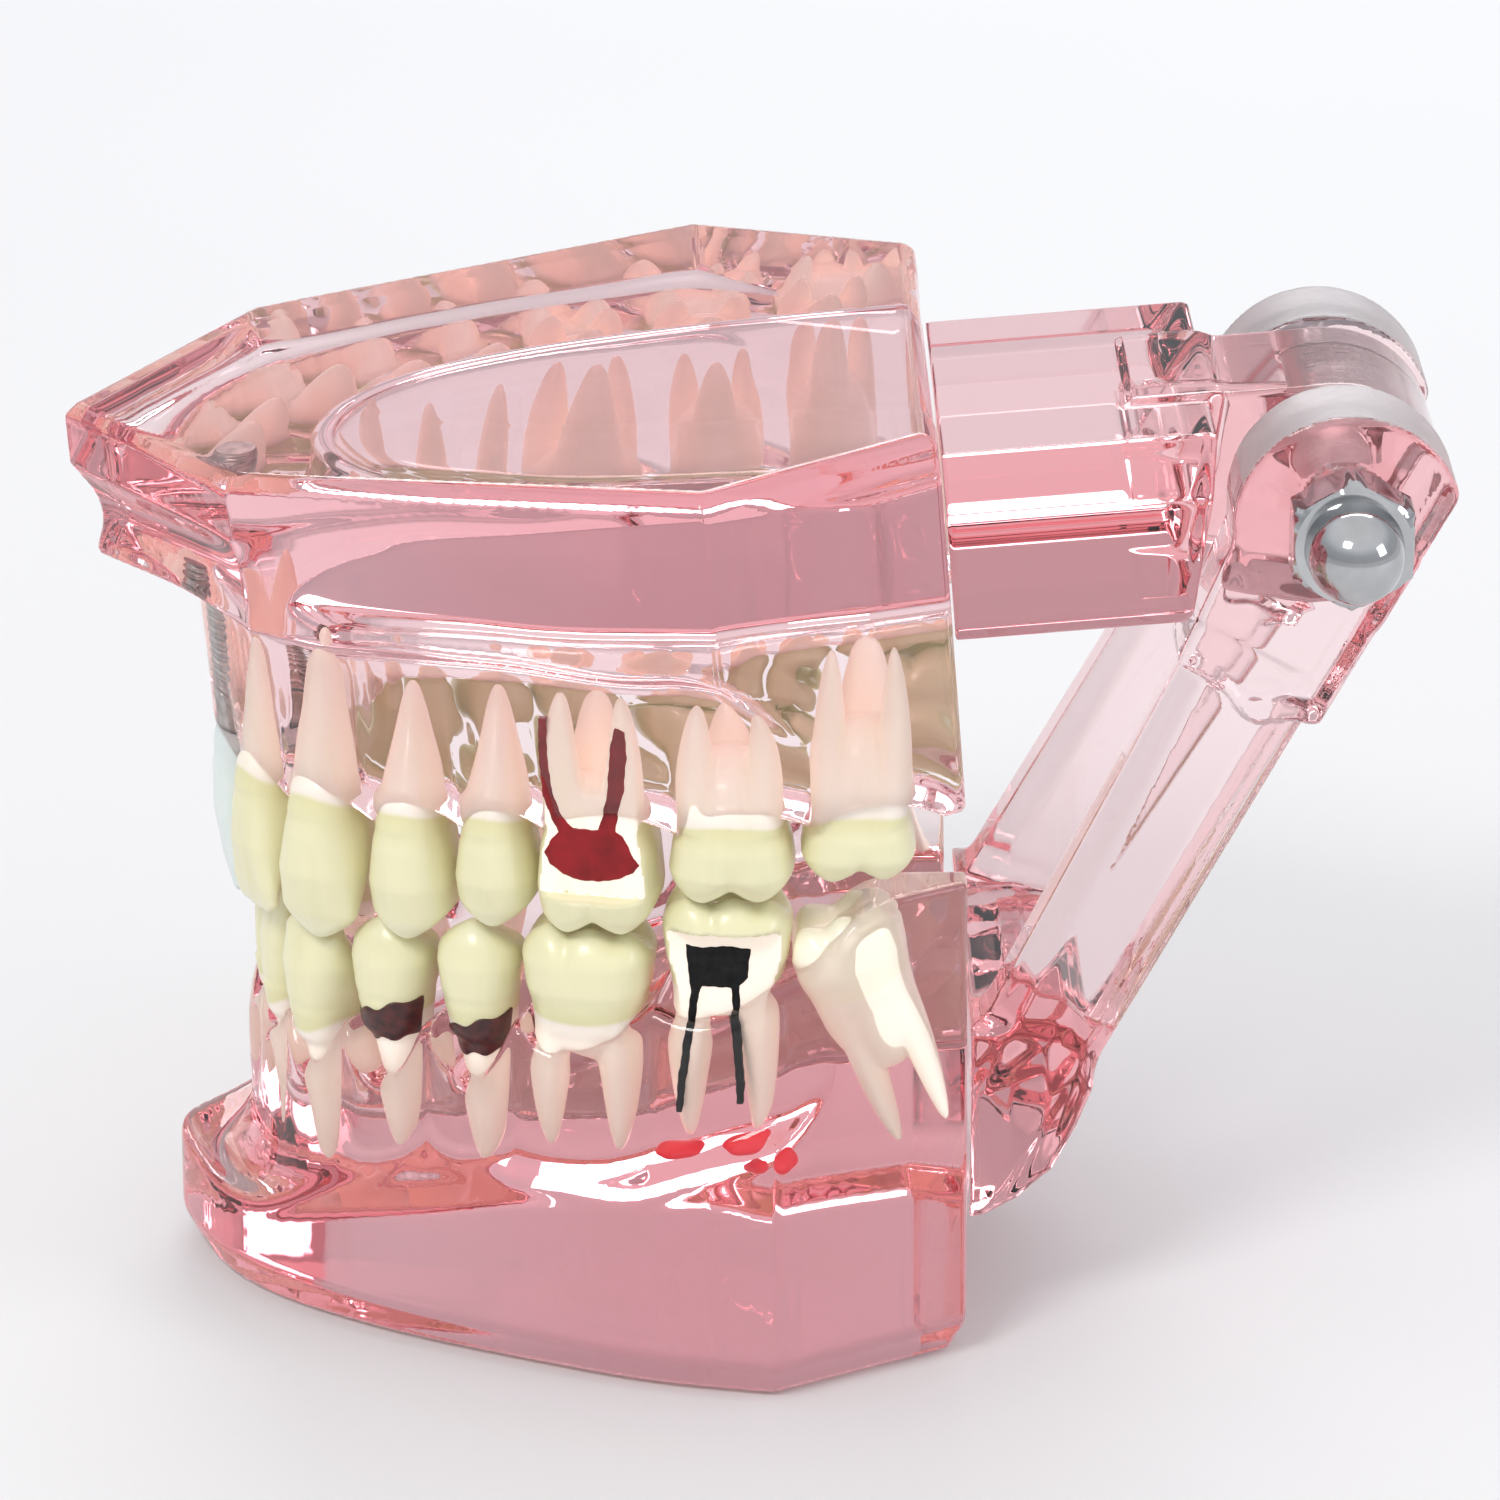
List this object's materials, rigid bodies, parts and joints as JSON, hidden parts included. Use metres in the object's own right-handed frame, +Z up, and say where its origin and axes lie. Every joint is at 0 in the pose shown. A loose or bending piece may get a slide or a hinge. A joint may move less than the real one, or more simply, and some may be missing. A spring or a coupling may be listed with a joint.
{
  "type": "typodont model",
  "caption": "Hinged clear pink teaching model of the human jaws, with cast-in teeth, a dental implant, opened teeth and a yoke hinge on a bolt with acorn nuts.",
  "frame": {"origin": "centre of the model's box, on the flat underside that it stands on", "axes": "-X is the front (incisors), +X the hinge, +Y the patient's right, +Z up; the jaws are closed at rest"},
  "size_m": [0.1147, 0.073, 0.082],
  "materials": {
    "pink_resin": "clear cast resin, pale pink, polished",
    "hinge_resin": "clear cast resin, pale pink, with sanded edges",
    "tooth": "satin cream resin, yellow-green crown and pinker root",
    "ceramic_crown": "glossy bluish white",
    "titanium": "machined titanium",
    "polished_steel": "polished stainless steel",
    "pulp_red": "dark red paint, satin",
    "canal_black": "black filling, satin",
    "decay_brown": "dark brown, satin",
    "lesion_red": "bright red, glossy"
  },
  "bodies": {
    "lower_jaw": {"lower_base": "pink_resin", "lower_yoke": "hinge_resin", "hinge_bolt": "polished_steel", "acorn_nut_left": "polished_steel", "acorn_nut_right": "polished_steel", "lower_left_central_incisor": "tooth", "lower_left_lateral_incisor": "tooth", "lower_left_canine": "tooth", "lower_left_first_premolar": "tooth", "lower_left_second_premolar": "tooth", "lower_left_first_molar": "tooth", "lower_left_second_molar": "tooth", "lower_left_third_molar": "tooth", "lower_right_central_incisor": "tooth", "lower_right_lateral_incisor": "tooth", "lower_right_canine": "tooth", "lower_right_first_premolar": "tooth", "lower_right_second_premolar": "tooth", "lower_right_first_molar": "tooth", "lower_right_second_molar": "tooth", "lower_right_third_molar": "tooth", "canal_filling": "canal_black", "decay_first_premolar": "decay_brown", "decay_second_premolar": "decay_brown", "lesion_mesial": "lesion_red", "lesion_distal": "lesion_red"},
    "upper_jaw": {"upper_base": "pink_resin", "upper_hinge_block": "hinge_resin", "upper_left_lateral_incisor": "tooth", "upper_left_canine": "tooth", "upper_left_first_premolar": "tooth", "upper_left_second_premolar": "tooth", "upper_left_first_molar": "tooth", "upper_left_second_molar": "tooth", "upper_left_third_molar": "tooth", "upper_right_central_incisor": "tooth", "upper_right_lateral_incisor": "tooth", "upper_right_canine": "tooth", "upper_right_first_premolar": "tooth", "upper_right_second_premolar": "tooth", "upper_right_first_molar": "tooth", "upper_right_second_molar": "tooth", "upper_right_third_molar": "tooth", "pulp_inlay": "pulp_red", "implant_fixture": "titanium", "implant_abutment": "titanium", "implant_crown": "ceramic_crown"}
  },
  "joints": [
    {"name": "jaw_hinge", "type": "hinge", "parent": "lower_jaw", "child": "upper_jaw", "pos_m": [0.04811, 0, 0.0709], "axis": [0, 1, 0], "range_deg": [0, 100]}
  ]
}
